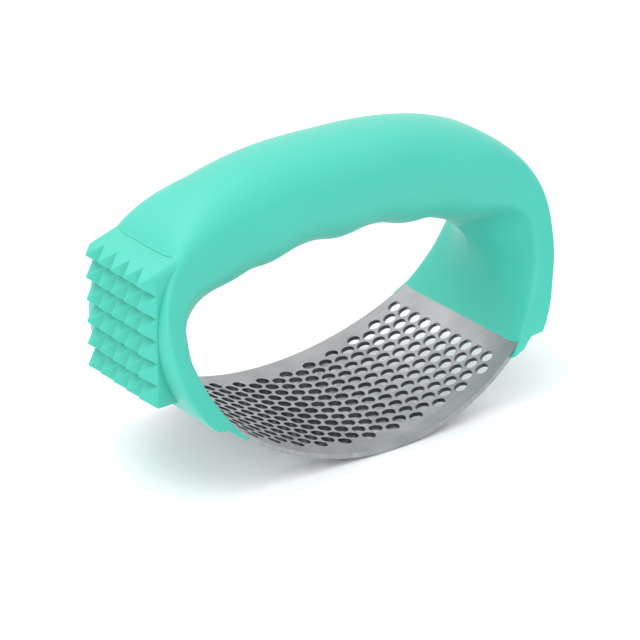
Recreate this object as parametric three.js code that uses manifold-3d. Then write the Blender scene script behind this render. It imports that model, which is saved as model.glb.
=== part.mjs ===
// Rocking garlic press: a rolled, perforated stainless plate held at both ends by an arched handle.
// Millimetres, +Z up. X runs along the handle, Y across it, and the plate rests on z = 0.
import * as THREE from 'three';
import { mergeVertices } from 'three/addons/utils/BufferGeometryUtils.js';
import Module from 'manifold-3d';

// ---- Driving dimensions ----

// Press plate
const PLATE_RADIUS = 66.9;        // inside radius of the roll
const PLATE_THICKNESS = 1.2;
const PLATE_MID_WIDTH = 52.8;     // across the middle of its barrel outline
const PLATE_END_WIDTH = 43.4;     // at the end of its full-width part, inside the handle
const PLATE_SEAT = 6.0;           // how far the full-width part runs into the handle
const NECK_LENGTH = 1.6;          // narrow stretch of the end tab
const NECK_WIDTH = 24;
const HEAD_LENGTH = 2.2;          // wide end of the tab, which the core traps
const HEAD_WIDTH = 34;
const HOLE_DIAMETER = 3.24;
const HOLE_PITCH = 4.0;           // between holes of one row
const ROW_PITCH = 3.48;           // between rows, along the roll
const END_MARGIN = 2.6;           // least arc between a row's centre and the handle
const SIDE_MARGIN = 1.5;          // least plain border beside the rows, plus half a web
const HOLE_SIDES = 6;
const FLAT_ROWS = 2;              // rows each side of the middle that share the flat it rests on

// Handle, outside
const HANDLE_TOP = 70.6;          // height of the arch
const HANDLE_REACH = 55.6;        // half length at the widest level
const WIDEST_LEVEL = 37.5;
const GRIP_WIDTH = 26.4;
const GRIP_DEPTH = 24;            // from the top of the arch to the top of the opening
const LEG_DEPTH = 12;             // from the outer face to the opening at the widest levels
const LEG_SIDE = 1.5;             // how far a leg's end stands beyond each edge of the plate

// Handle, finger opening
const OPENING_LEVEL = 25;         // where the opening is longest
const ARCH_POWER = 2.5;           // squareness of both arches
const FINGER_PITCH = 19.1;        // between the ridges that part the fingers
const RIDGE_HEIGHT = 1.2;
const RIDGE_POWER = 1.4;          // narrowness of a ridge
const RIDGE_SHIFT = -1.6;         // the middle ridge stands off centre
const RIDGE_SPAN = 31;            // half length that carries ridges
const RIDGE_FADE = 8;             // length over which the ridges die out

// Leg ends
const HEEL_SET = 18.4;            // from the handle's full reach in to a leg's inner edge
const HEEL_RISE = 0.7;            // above the plate's underside
const LIP_COVER = 0.5;            // of the plate's end, before the outer lip starts
const LIP_WIDTH = 3.7;
const TIP_RISE = 1.03;            // from the plate's underside up to the outer lip

// Section of the handle. Shares count along its path, from 0 at the top to 1 at a leg's end.
const LEG_EDGE = 7.8;             // thickness along a leg's two edges, halfway up
const GRIP_POWER = 2.2;           // squareness of the grip's section
const LEG_OUTER_POWER = 7;        // squareness of a leg's section, outside and inside
const LEG_INNER_POWER = 5;
const END_POWER = 14;
const OUTER_TURN = [0.34, 0.72];  // shares over which the outer face turns from grip to leg
const INNER_TURN = [0.42, 0.72];  // and the inner face
const EDGE_TURN = [0.78, 0.94];   // shares over which a leg's edges thicken to its full depth
const END_TURN = [0.86, 0.97];    // shares over which the section squares up
const FLARE_START = 0.5;          // share where a leg starts to widen
const FLARE_POWER = 1.6;
const SHOULDER_LAG = 0.07;        // how far the inner arch trails the outer one round the shoulder
const LAG_POWER = 2.6;

// Shells
const SKIN = 1.7;                 // soft skin over the core
const CORE_GAP = 0.45;            // between the skin and the core
const CORE_WALL = 2.2;
const CORE_END_COVER = 3;         // skin beyond the core at a leg's end
const HOLLOW_END = 0.6;           // share of the handle's path that is hollow inside the core
const BOSS_RADIUS = 3.4;
const BOSS_SPACING = 22;
const BOSS_DROP = 2;              // of the outer bosses, which follow the arch
const PEG_RADIUS = 1.6;
const PEG_LENGTH = 4;             // past the split
const PEG_ROOT = 1;               // how deep a peg is rooted in its own half
const LEG_PEG_DEPTH = 5.8;        // from the outer face to the peg in each solid leg
const LEG_PEG_RISE = 16;          // along the outer face, from a leg's end up to that peg

// Peeler pad
const TOOTH_COLUMNS = 5;
const TOOTH_ROWS = 6;
const TOOTH_WIDTH = 5.24;         // across the handle
const TOOTH_RISE = 5.38;          // up the handle
const TOOTH_DEPTH = 3.6;
const PAD_RISE = 3.9;             // from a leg's end up to the pad
const PAD_STAND = 0.2;            // of the valleys between the teeth, beyond the handle's reach
const PAD_SINK = 2.2;             // how far its back lies inside the handle's outer face
const PAD_ROOT = 4;               // spare stock behind its back, before that is shaped
const PAD_TOP_SLOPE = 0.35;
const PAD_SEAT = 0.8;             // depth of its recess in the skin
const PAD_START = 0.25;           // share of the path where its curved back starts

const GAP = 0.3;                  // between pieces that touch
const MARGIN = 5;                 // by which a cutting tool runs past what it cuts

// ---- Places that follow from them ----

const ROLL_LEVEL = PLATE_RADIUS + PLATE_THICKNESS; // height of the roll's centre line
const underside = (x) => ROLL_LEVEL - Math.sqrt(ROLL_LEVEL * ROLL_LEVEL - x * x);
const OPENING_TOP = HANDLE_TOP - GRIP_DEPTH;
const OPENING_REACH = HANDLE_REACH - LEG_DEPTH;
const HEEL_REACH = HANDLE_REACH - HEEL_SET;
const HEEL_LEVEL = underside(HEEL_REACH) + HEEL_RISE;
const PLATE_REACH = HEEL_REACH + PLATE_SEAT;
const NECK_REACH = PLATE_REACH + NECK_LENGTH;
const HEAD_REACH = NECK_REACH + HEAD_LENGTH;
const LIP_REACH = PLATE_REACH + LIP_COVER;
const TIP_REACH = LIP_REACH + LIP_WIDTH;
const TIP_LEVEL = underside(LIP_REACH) + TIP_RISE;
const LEG_END_WIDTH = PLATE_END_WIDTH + 2 * LEG_SIDE;
const FREE_ARC = Math.asin(HEEL_REACH / PLATE_RADIUS) * PLATE_RADIUS;
const ROW_COUNT = 2 * Math.floor((FREE_ARC - END_MARGIN) / ROW_PITCH + 0.5);
const HOLES_PER_ROW = Math.floor((PLATE_END_WIDTH - 2 * SIDE_MARGIN) / HOLE_PITCH);
const GRIP_LEVEL = HANDLE_TOP - GRIP_DEPTH / 2;
const BOSS_POSITIONS = [-1, 0, 1].map((k) => [k * BOSS_SPACING, GRIP_LEVEL - Math.abs(k) * BOSS_DROP]);
const PAD_FACE = HANDLE_REACH + PAD_STAND;
const PAD_BOTTOM = TIP_LEVEL + PAD_RISE;

// ---- Finishes ----
const steel = new THREE.MeshStandardMaterial({ color: 0xb9babb, roughness: 0.34, metalness: 1 });
const softSkin = new THREE.MeshStandardMaterial({ color: 0x5fd5bb, roughness: 0.55, metalness: 0 });
const softPad = new THREE.MeshStandardMaterial({ color: 0x57cfb5, roughness: 0.6, metalness: 0 });
const hardCore = new THREE.MeshStandardMaterial({ color: 0xe8ebe8, roughness: 0.45, metalness: 0 });

// ---- Solids ----
const wasm = await Module();
wasm.setup();

function toSolid(geometry) {
  const bare = geometry.index ? geometry.clone() : geometry;
  bare.deleteAttribute('normal');
  bare.deleteAttribute('uv');
  const merged = mergeVertices(bare, 1e-4);
  return new wasm.Manifold(new wasm.Mesh({
    numProp: 3,
    vertProperties: new Float32Array(merged.attributes.position.array),
    triVerts: new Uint32Array(merged.index.array),
  }));
}

function toMesh(name, solid, material) {
  const mesh = solid.getMesh();
  const geometry = new THREE.BufferGeometry();
  geometry.setAttribute('position', new THREE.BufferAttribute(new Float32Array(mesh.vertProperties), 3));
  geometry.setIndex(new THREE.BufferAttribute(new Uint32Array(mesh.triVerts), 1));
  geometry.computeVertexNormals();
  const part = new THREE.Mesh(geometry, material);
  part.name = name;
  return part;
}

// A closed outline in X and Z, extruded across Y about the middle plane.
function acrossSolid(outline, width) {
  const shape = new THREE.Shape(outline.map(([x, z]) => new THREE.Vector2(x, z)));
  const geometry = new THREE.ExtrudeGeometry(shape, { depth: width, bevelEnabled: false });
  geometry.rotateX(Math.PI / 2);
  geometry.translate(0, width / 2, 0);
  return toSolid(geometry);
}

function boxSolid(low, high) {
  const geometry = new THREE.BoxGeometry(high[0] - low[0], high[1] - low[1], high[2] - low[2]);
  geometry.translate((low[0] + high[0]) / 2, (low[1] + high[1]) / 2, (low[2] + high[2]) / 2);
  return toSolid(geometry);
}

// A round bar along Y from y = from to y = to.
function crossBar([x, z], radius, from, to) {
  const geometry = new THREE.CylinderGeometry(radius, radius, to - from, 16);
  geometry.translate(x, (from + to) / 2, z);
  return toSolid(geometry);
}

// ---- Press plate ----

// Angles of the roll's facets: one flat for the middle rows, then one for each row, then past the tabs.
function facetAngles() {
  const step = ROW_PITCH / PLATE_RADIUS;
  const last = Math.ceil(Math.asin(HEAD_REACH / PLATE_RADIUS) / step) + 1;
  const angles = [];
  for (let k = -last; k <= last; k += 1) {
    if (Math.abs(k) >= FLAT_ROWS) angles.push(k * step);
  }
  return angles;
}

// The roll from one radius to another. Its middle flat is tangent to the true roll at z = 0.
function rollOutline(inner, outer) {
  const angles = facetAngles();
  const first = angles[angles.length / 2];
  const at = (radius, angle) => {
    const drop = Math.abs(angle) > first ? 0 : radius * (1 - Math.cos(first));
    return [radius * Math.sin(angle), ROLL_LEVEL - radius * Math.cos(angle) - drop];
  };
  const lower = angles.map((angle) => at(outer, angle));
  const upper = angles.map((angle) => at(inner, angle));
  return lower.concat(upper.reverse());
}

function plateHalfWidth(x) {
  const share = Math.min(1, Math.abs(x) / PLATE_REACH);
  return (PLATE_MID_WIDTH - (PLATE_MID_WIDTH - PLATE_END_WIDTH) * share * share) / 2;
}

// The plate seen from above: barrel sides, then a neck and a wide head at each end.
function platePlan(margin) {
  const side = 16;
  const half = [];
  for (let k = 0; k <= side; k += 1) {
    const x = PLATE_REACH * (1 - k / side);
    half.push([x + (k === 0 ? margin : 0), plateHalfWidth(x) + margin]);
  }
  const tab = [
    [HEAD_REACH + margin, HEAD_WIDTH / 2 + margin],
    [NECK_REACH - margin, HEAD_WIDTH / 2 + margin],
    [NECK_REACH - margin, NECK_WIDTH / 2 + margin],
    [PLATE_REACH + margin, NECK_WIDTH / 2 + margin],
  ];
  const quarter = tab.concat(half);
  const upper = quarter.concat(quarter.slice(0, -1).reverse().map(([x, y]) => [-x, y]));
  return upper.concat(upper.slice().reverse().map(([x, y]) => [x, -y]));
}

// The plate without its holes, thicker all round by the margin where it cuts its seat.
function plateBlank(margin) {
  const roll = acrossSolid(
    rollOutline(PLATE_RADIUS - margin, ROLL_LEVEL + margin),
    PLATE_MID_WIDTH + MARGIN,
  );
  const plan = new THREE.Shape(platePlan(margin).map(([x, y]) => new THREE.Vector2(x, y)));
  const prism = new THREE.ExtrudeGeometry(plan, { depth: HANDLE_TOP, bevelEnabled: false });
  prism.translate(0, 0, -1);
  return roll.intersect(toSolid(prism));
}

// All hole cutters as one set of separate bars, each square to the roll.
function holeCutters() {
  const length = PLATE_THICKNESS + MARGIN;
  const bar = new THREE.CylinderGeometry(HOLE_DIAMETER / 2, HOLE_DIAMETER / 2, length, HOLE_SIDES);
  bar.rotateX(Math.PI / 2);
  let cutters = null;
  for (let row = 0; row < ROW_COUNT; row += 1) {
    const angle = ((ROW_COUNT - 1) / 2 - row) * ROW_PITCH / PLATE_RADIUS;
    const stagger = (row % 2 === 0 ? 1 : -1) * HOLE_PITCH / 4;
    for (let hole = 0; hole < HOLES_PER_ROW; hole += 1) {
      const one = bar.clone();
      one.translate(0, 0, -PLATE_RADIUS - PLATE_THICKNESS / 2);
      one.rotateY(-angle);
      one.translate(0, ((HOLES_PER_ROW - 1) / 2 - hole) * HOLE_PITCH + stagger, ROLL_LEVEL);
      const solid = toSolid(one);
      cutters = cutters ? cutters.add(solid) : solid;
    }
  }
  return cutters;
}

// ---- Handle ----

// Half an arch as a curve from its top to a leg's end: a squared quarter, then a round stretch.
function archCurve(reach, top, level, endReach, endLevel) {
  const points = [];
  const quarter = 24;
  for (let k = 0; k <= quarter; k += 1) {
    const angle = (Math.PI / 2) * (1 - k / quarter);
    const x = reach * Math.cos(angle) ** (2 / ARCH_POWER);
    const z = level + (top - level) * Math.sin(angle) ** (2 / ARCH_POWER);
    points.push(new THREE.Vector2(k === 0 ? 0 : x, z));
  }
  const drop = level - endLevel;
  const back = reach - endReach;
  const radius = (drop * drop + back * back) / (2 * back);
  const sweep = Math.asin(drop / radius);
  const round = 8;
  for (let k = 1; k <= round; k += 1) {
    const angle = (sweep * k) / round;
    points.push(new THREE.Vector2(reach - radius * (1 - Math.cos(angle)), level - radius * Math.sin(angle)));
  }
  return new THREE.SplineCurve(points);
}

const outerArch = archCurve(HANDLE_REACH, HANDLE_TOP, WIDEST_LEVEL, TIP_REACH, TIP_LEVEL);
const innerArch = archCurve(OPENING_REACH, OPENING_TOP, OPENING_LEVEL, HEEL_REACH, HEEL_LEVEL);

const PATH = outerArch.getLength();
const CORE_END = 1 - (CORE_END_COVER + CORE_GAP) / PATH;

// A point at a depth inside the handle's outer face, at a share of its path.
function insideArch(share, depth) {
  const point = outerArch.getPointAt(share);
  const ahead = outerArch.getTangentAt(share);
  return [point.x + ahead.y * depth, point.y - ahead.x * depth];
}

const smooth = ([from, to], value) => THREE.MathUtils.smoothstep(value, from, to);
const mix = THREE.MathUtils.lerp;

// Ridges between the fingers, as a height below the opening's top.
function ridge(x) {
  const wave = Math.cos((Math.PI * (x - RIDGE_SHIFT)) / FINGER_PITCH) ** 2;
  const fade = 1 - smooth([RIDGE_SPAN - RIDGE_FADE, RIDGE_SPAN], Math.abs(x));
  return RIDGE_HEIGHT * wave ** RIDGE_POWER * fade;
}

// The section at share t of the path, -1 and 1 being the legs' ends: points [x, y, z] around it.
function handleSection(t, inset, sides) {
  const share = Math.abs(t);
  const sign = Math.sign(t) || 1;
  const outer = outerArch.getPointAt(share);
  const lag = SHOULDER_LAG * Math.sin(Math.PI * share ** LAG_POWER) ** 2;
  const inner = innerArch.getPointAt(Math.max(0, share - lag));
  inner.y -= ridge(sign * inner.x);
  const depth = outer.distanceTo(inner);
  const legness = smooth(INNER_TURN, share);
  const edge = mix(depth, mix(LEG_EDGE, depth, smooth(EDGE_TURN, share)), legness) / 2;
  const outerLeg = mix(GRIP_POWER, LEG_OUTER_POWER, smooth(OUTER_TURN, share));
  const innerLeg = mix(GRIP_POWER, LEG_INNER_POWER, legness);
  const outerPower = mix(outerLeg, END_POWER, smooth(END_TURN, share));
  const innerPower = mix(innerLeg, END_POWER, smooth(END_TURN, share));
  const flare = (Math.max(0, share - FLARE_START) / (1 - FLARE_START)) ** FLARE_POWER;
  const halfWidth = mix(GRIP_WIDTH, LEG_END_WIDTH, flare) / 2 - inset;
  const halfEdge = edge - inset;
  const bulge = depth - 2 * edge;
  const points = [];
  for (let k = 0; k < sides; k += 1) {
    const angle = (2 * Math.PI * k) / sides;
    const power = Math.sin(angle) > 0 ? innerPower : outerPower;
    const across = Math.sign(Math.cos(angle)) * Math.abs(Math.cos(angle)) ** (2 / power);
    const along = Math.sign(Math.sin(angle)) * Math.abs(Math.sin(angle)) ** (2 / power);
    let sink = edge + halfEdge * along;
    if (along > 0) sink += bulge * (1 - across * across) ** 2;
    const place = outer.clone().lerp(inner, sink / depth);
    points.push([sign * place.x, halfWidth * across, place.y]);
  }
  return points;
}

// The handle's body up to a share of its path each way, shrunk on every side by the inset. The length
// over is added at both ends without moving the sections between.
function handleBody(inset, end, spans, sides, over = 0) {
  const shares = Array.from({ length: spans + 1 }, (_, k) => end * ((2 * k) / spans - 1));
  if (over > 0) {
    shares.unshift(-end - over / PATH);
    shares.push(end + over / PATH);
  }
  const sections = shares.length - 1;
  const vertices = [];
  const triangles = [];
  shares.forEach((share) => {
    handleSection(share, inset, sides).forEach((point) => vertices.push(...point));
  });
  for (let s = 0; s < sections; s += 1) {
    for (let k = 0; k < sides; k += 1) {
      const a = s * sides + k;
      const b = s * sides + ((k + 1) % sides);
      triangles.push(a, a + sides, b, b, a + sides, b + sides);
    }
  }
  for (const [first, flip] of [[0, true], [sections * sides, false]]) {
    const ring = vertices.slice(first * 3, (first + sides) * 3);
    const centre = [0, 1, 2].map((axis) => {
      let sum = 0;
      for (let k = 0; k < sides; k += 1) sum += ring[k * 3 + axis];
      return sum / sides;
    });
    const hub = vertices.length / 3;
    vertices.push(...centre);
    for (let k = 0; k < sides; k += 1) {
      const a = first + k;
      const b = first + ((k + 1) % sides);
      triangles.push(hub, flip ? a : b, flip ? b : a);
    }
  }
  const geometry = new THREE.BufferGeometry();
  geometry.setAttribute('position', new THREE.BufferAttribute(new Float32Array(vertices), 3));
  geometry.setIndex(triangles);
  return toSolid(geometry);
}

// What is trimmed off below the legs: each ends flush with the plate's underside, then in an outer lip.
function endTrims() {
  const steps = 4;
  const first = HEEL_REACH - MARGIN;
  const cuts = [-1, 1].map((sign) => {
    const outline = [[sign * first, -MARGIN]];
    for (let k = 0; k <= steps; k += 1) {
      const x = mix(first, LIP_REACH, k / steps);
      outline.push([sign * x, underside(x)]);
    }
    outline.push([sign * TIP_REACH, TIP_LEVEL], [sign * (TIP_REACH + MARGIN), TIP_LEVEL]);
    outline.push([sign * (TIP_REACH + MARGIN), -MARGIN]);
    return acrossSolid(outline, LEG_END_WIDTH + MARGIN);
  });
  return cuts[0].add(cuts[1]);
}

// ---- Peeler pad ----

const PAD_HALF_WIDTH = (TOOTH_COLUMNS * TOOTH_WIDTH) / 2;
const PAD_TOP = PAD_BOTTOM + TOOTH_ROWS * TOOTH_RISE;
const PAD_BACK = TIP_REACH - PAD_SINK - PAD_ROOT;

// A block with a grid of pyramids on its outer face and a sloping top.
function toothedBlock() {
  const vertices = [];
  const triangles = [];
  const at = (column, row) => row * (TOOTH_COLUMNS + 1) + column;
  for (let row = 0; row <= TOOTH_ROWS; row += 1) {
    for (let column = 0; column <= TOOTH_COLUMNS; column += 1) {
      vertices.push(-PAD_FACE, PAD_HALF_WIDTH - column * TOOTH_WIDTH, PAD_BOTTOM + row * TOOTH_RISE);
    }
  }
  for (let row = 0; row < TOOTH_ROWS; row += 1) {
    for (let column = 0; column < TOOTH_COLUMNS; column += 1) {
      const tip = vertices.length / 3;
      const y = PAD_HALF_WIDTH - (column + 0.5) * TOOTH_WIDTH;
      vertices.push(-PAD_FACE - TOOTH_DEPTH, y, PAD_BOTTOM + (row + 0.5) * TOOTH_RISE);
      const corners = [at(column, row), at(column + 1, row), at(column + 1, row + 1), at(column, row + 1)];
      corners.forEach((corner, k) => triangles.push(tip, corner, corners[(k + 1) % 4]));
    }
  }
  const back = vertices.length / 3;
  const high = PAD_TOP + PAD_TOP_SLOPE * (PAD_FACE - PAD_BACK);
  vertices.push(-PAD_BACK, PAD_HALF_WIDTH, PAD_BOTTOM, -PAD_BACK, -PAD_HALF_WIDTH, PAD_BOTTOM);
  vertices.push(-PAD_BACK, -PAD_HALF_WIDTH, high, -PAD_BACK, PAD_HALF_WIDTH, high);
  const edges = [
    Array.from({ length: TOOTH_COLUMNS + 1 }, (_, k) => at(k, 0)),
    Array.from({ length: TOOTH_ROWS + 1 }, (_, k) => at(TOOTH_COLUMNS, k)),
    Array.from({ length: TOOTH_COLUMNS + 1 }, (_, k) => at(TOOTH_COLUMNS - k, TOOTH_ROWS)),
    Array.from({ length: TOOTH_ROWS + 1 }, (_, k) => at(0, TOOTH_ROWS - k)),
  ];
  edges.forEach((edge, side) => {
    const near = back + side;
    const far = back + ((side + 1) % 4);
    for (let k = 0; k + 1 < edge.length; k += 1) triangles.push(edge[k + 1], edge[k], near);
    triangles.push(edge[edge.length - 1], near, far);
  });
  triangles.push(back, back + 2, back + 1, back, back + 3, back + 2);
  const geometry = new THREE.BufferGeometry();
  geometry.setAttribute('position', new THREE.BufferAttribute(new Float32Array(vertices), 3));
  geometry.setIndex(triangles);
  return toSolid(geometry);
}

// The tool for the pad's recess: the pad's outline and the gap all round, run on past its teeth.
function recessBlock() {
  const beyond = PAD_FACE + TOOTH_DEPTH + MARGIN;
  const back = PAD_BACK - GAP;
  const top = PAD_TOP + GAP;
  const outline = [
    [-beyond, PAD_BOTTOM - GAP],
    [-back, PAD_BOTTOM - GAP],
    [-back, top + PAD_TOP_SLOPE * (PAD_FACE - back)],
    [-PAD_FACE, top],
    [-beyond, top],
  ];
  return acrossSolid(outline, 2 * (PAD_HALF_WIDTH + GAP));
}

// Everything beyond a line inside the outer face of the leg that carries the pad.
function outsideLeg(sink) {
  const steps = 20;
  const line = [];
  for (let k = 0; k <= steps; k += 1) {
    const [x, z] = insideArch(mix(PAD_START, 1, k / steps), sink);
    line.push([-x, z]);
  }
  const beyond = PAD_FACE + TOOTH_DEPTH + 2 * MARGIN;
  const foot = [[line[steps][0], -MARGIN], [-beyond, -MARGIN]];
  return acrossSolid([[-beyond, line[0][1]], ...line, ...foot], LEG_END_WIDTH);
}

// ---- Assembly ----

function buildPlate() {
  return plateBlank(0).subtract(holeCutters());
}

function buildPad() {
  return toothedBlock().intersect(outsideLeg(PAD_SINK)).subtract(handleBody(PAD_SEAT, 1, 40, 20));
}

function buildSkin() {
  const recess = recessBlock()
    .intersect(outsideLeg(PAD_SINK + GAP))
    .subtract(handleBody(PAD_SEAT + GAP, 1, 40, 20));
  return handleBody(0, 1, 44, 20)
    .subtract(endTrims())
    .subtract(handleBody(SKIN, CORE_END, 40, 16, CORE_GAP))
    .subtract(plateBlank(GAP))
    .subtract(recess);
}

// One half of the core: side -1 is the front, towards -Y, and 1 is the rear.
function buildCoreHalf(side) {
  const low = side < 0 ? -LEG_END_WIDTH : GAP / 2;
  const high = side < 0 ? -GAP / 2 : LEG_END_WIDTH;
  const reach = HANDLE_REACH + MARGIN;
  const keep = boxSolid([-reach, low, -MARGIN], [reach, high, HANDLE_TOP + MARGIN]);
  const [legX, legZ] = insideArch(1 - LEG_PEG_RISE / PATH, LEG_PEG_DEPTH);
  const pegs = BOSS_POSITIONS.concat([[legX, legZ], [-legX, legZ]]);
  let half = handleBody(SKIN + CORE_GAP, CORE_END, 40, 16);
  half = half.subtract(handleBody(SKIN + CORE_GAP + CORE_WALL, HOLLOW_END, 26, 12));
  const inside = handleBody(SKIN + CORE_GAP + CORE_WALL / 2, HOLLOW_END, 26, 12);
  BOSS_POSITIONS.forEach((place) => {
    half = half.add(crossBar(place, BOSS_RADIUS, -GRIP_WIDTH / 2, GRIP_WIDTH / 2).intersect(inside));
  });
  half = half.intersect(keep).subtract(plateBlank(GAP));
  pegs.forEach((place) => {
    if (side < 0) half = half.add(crossBar(place, PEG_RADIUS, -GAP - PEG_ROOT, PEG_LENGTH));
    else half = half.subtract(crossBar(place, PEG_RADIUS + GAP, -MARGIN, PEG_LENGTH + GAP));
  });
  return half;
}

const press = new THREE.Group();
press.add(toMesh('press_plate', buildPlate(), steel));
press.add(toMesh('grip_skin', buildSkin(), softSkin));
press.add(toMesh('core_front', buildCoreHalf(-1), hardCore));
press.add(toMesh('core_rear', buildCoreHalf(1), hardCore));
press.add(toMesh('peeler_pad', buildPad(), softPad));

// The origin lies under the middle of the whole press, teeth included.
press.position.x = (PAD_FACE + TOOTH_DEPTH - HANDLE_REACH) / 2;

export default press;
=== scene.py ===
"""The looks of a rocking garlic press: a rolled, punched steel plate under an arched soft-touch handle.

Everything is in metres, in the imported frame. Sizes are written in millimetres and turned by MM.
"""

import logging
import math
from dataclasses import dataclass, field
from enum import Enum

import bmesh
import bpy
from mathutils import Matrix, Vector


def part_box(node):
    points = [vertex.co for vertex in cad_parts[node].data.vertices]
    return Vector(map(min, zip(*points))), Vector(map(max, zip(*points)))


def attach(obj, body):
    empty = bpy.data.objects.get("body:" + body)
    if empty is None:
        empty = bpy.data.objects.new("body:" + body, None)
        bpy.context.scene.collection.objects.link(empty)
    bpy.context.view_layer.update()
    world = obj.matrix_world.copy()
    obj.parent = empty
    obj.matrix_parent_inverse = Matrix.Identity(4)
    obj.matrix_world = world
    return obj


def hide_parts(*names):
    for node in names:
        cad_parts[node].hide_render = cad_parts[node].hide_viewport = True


MM = 0.001
BODY = "root"
SHORTEST_EDGE = 1e-7  # metres; what is shorter counts as one point
LOG = logging.getLogger("garlic_press")

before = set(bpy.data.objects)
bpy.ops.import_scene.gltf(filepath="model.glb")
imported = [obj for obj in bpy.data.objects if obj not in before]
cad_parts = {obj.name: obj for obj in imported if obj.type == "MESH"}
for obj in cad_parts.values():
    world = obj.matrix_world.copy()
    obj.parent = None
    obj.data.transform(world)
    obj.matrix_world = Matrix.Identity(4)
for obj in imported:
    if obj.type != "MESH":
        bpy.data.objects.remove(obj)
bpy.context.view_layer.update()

Point = tuple[float, float, float]
Piece = bpy.types.Object
Material = bpy.types.Material
Tree = bpy.types.NodeTree
Socket = bpy.types.NodeSocket


# ---- Mesh helpers ----


class Slot(Enum):
    """The record's material slots."""

    STEEL = "steel"
    SKIN = "soft_skin"
    CORE = "hard_core"
    PAD = "soft_pad"


def linear(hex_colour: str) -> tuple[float, float, float, float]:
    """Turns an sRGB colour into the linear one that shaders use.

    Args:
        hex_colour: Six hexadecimal digits after a hash.

    Returns:
        Red, green, blue and an alpha of 1.
    """
    shares = [int(hex_colour[k : k + 2], 16) / 255 for k in (1, 3, 5)]
    turned = [s / 12.92 if s <= 0.04045 else ((s + 0.055) / 1.055) ** 2.4 for s in shares]
    return (*turned, 1.0)


def mix(first: float, second: float, share: float) -> float:
    """Returns the value at a share of the way from the first to the second."""
    return first + (second - first) * share


def smooth(span: tuple[float, float], value: float) -> float:
    """Returns 0 below the span and 1 above it, with a smooth turn between."""
    share = min(1.0, max(0.0, (value - span[0]) / (span[1] - span[0])))
    return share * share * (3 - 2 * share)


def new_mesh(name: str, points: list, faces: list) -> Piece:
    """Makes a linked mesh object at the origin.

    Args:
        name: The object's name.
        points: Corners in metres.
        faces: The numbers of each face's corners.

    Returns:
        The new object.
    """
    mesh = bpy.data.meshes.new(name)
    mesh.from_pydata([tuple(p) for p in points], [], faces)
    mesh.update()
    made = bpy.data.objects.new(name, mesh)
    bpy.context.scene.collection.objects.link(made)
    return made


def frozen(piece: Piece) -> Piece:
    """Turns what a piece's modifiers make into its plain mesh.

    Args:
        piece: The object, with its modifiers.

    Returns:
        The same object, with the result as its mesh and no modifiers.
    """
    graph = bpy.context.evaluated_depsgraph_get()
    result = bpy.data.meshes.new_from_object(piece.evaluated_get(graph), depsgraph=graph)
    piece.modifiers.clear()
    piece.data = result
    return piece


def smooth_by_angle(piece: Piece, angle: float) -> None:
    """Shades a mesh smooth, apart from edges sharper than the angle.

    Args:
        piece: The mesh object.
        angle: The sharpest edge that still shades smooth, in degrees.
    """
    piece.data.shade_smooth()
    piece.data.set_sharp_from_angle(angle=math.radians(angle))


def outward(piece: Piece) -> None:
    """Turns every face of a closed mesh outwards.

    Args:
        piece: The mesh object.
    """
    work = bmesh.new()
    work.from_mesh(piece.data)
    bmesh.ops.remove_doubles(work, verts=work.verts, dist=SHORTEST_EDGE)
    bmesh.ops.recalc_face_normals(work, faces=work.faces)
    work.to_mesh(piece.data)
    work.free()


def closed_body(name: str, runs: list[list[list[Point]]]) -> Piece:
    """Makes one mesh of closed bodies, each skinned over a run of rings.

    Args:
        name: The object's name.
        runs: The rings of each body in order. All have the same number of corners, in metres.

    Returns:
        The new object, with its faces pointing outwards.
    """
    points: list = []
    faces: list = []
    for rings in runs:
        first, count = len(points), len(rings[0])
        for ring in rings:
            points += ring
        last = len(points) - count
        for start in range(first, last, count):
            for k in range(count):
                near, ahead = start + k, start + (k + 1) % count
                faces.append((near, near + count, ahead + count, ahead))
        faces += [tuple(range(first, first + count)), tuple(reversed(range(last, last + count)))]
    made = new_mesh(name, points, faces)
    outward(made)
    return made


def cut_away(piece: Piece, tools: list) -> None:
    """Cuts each tool out of a piece in turn and removes the tools.

    Args:
        piece: The solid that is cut.
        tools: Closed bodies.
    """
    for tool in tools:
        cut = piece.modifiers.new(tool.name, "BOOLEAN")
        cut.operation = "DIFFERENCE"
        cut.solver = "EXACT"
        cut.object = tool
    frozen(piece)
    for tool in tools:
        bpy.data.objects.remove(tool)


def soften(piece: Piece, width: float, segments: int, angle: float) -> None:
    """Adds a bevel to every edge sharper than an angle.

    Args:
        piece: The object that gets the modifier.
        width: The bevel's width in millimetres.
        segments: How many faces it takes.
        angle: How many degrees an edge turns by before it is bevelled.
    """
    bevel = piece.modifiers.new("softened_edges", "BEVEL")
    bevel.width = width * MM
    bevel.segments = segments
    bevel.limit_method = "ANGLE"
    bevel.angle_limit = math.radians(angle)


def place(piece: Piece, slot: Slot, replaced: str, material: Material) -> None:
    """Dresses a finished piece and joins it to the frame.

    Args:
        piece: The finished object.
        slot: The record's slot for its finish; it is not used.
        replaced: The CAD node that it stands for.
        material: Its finish.
    """
    piece.data.materials.clear()
    piece.data.materials.append(material)
    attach(piece, BODY)
    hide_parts(replaced)
    LOG.info("%s: %d faces", piece.name, len(piece.data.polygons))


# ---- Node helpers ----

# The Mix node's colour sockets go by number, because their names repeat for every kind of value.
MIX_FIRST, MIX_SECOND, MIX_RESULT = 6, 7, 2


def per_mm(size: float) -> float:
    """Returns the texture scale that makes one repeat of a pattern this many millimetres long."""
    return 1 / (size * MM)


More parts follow.
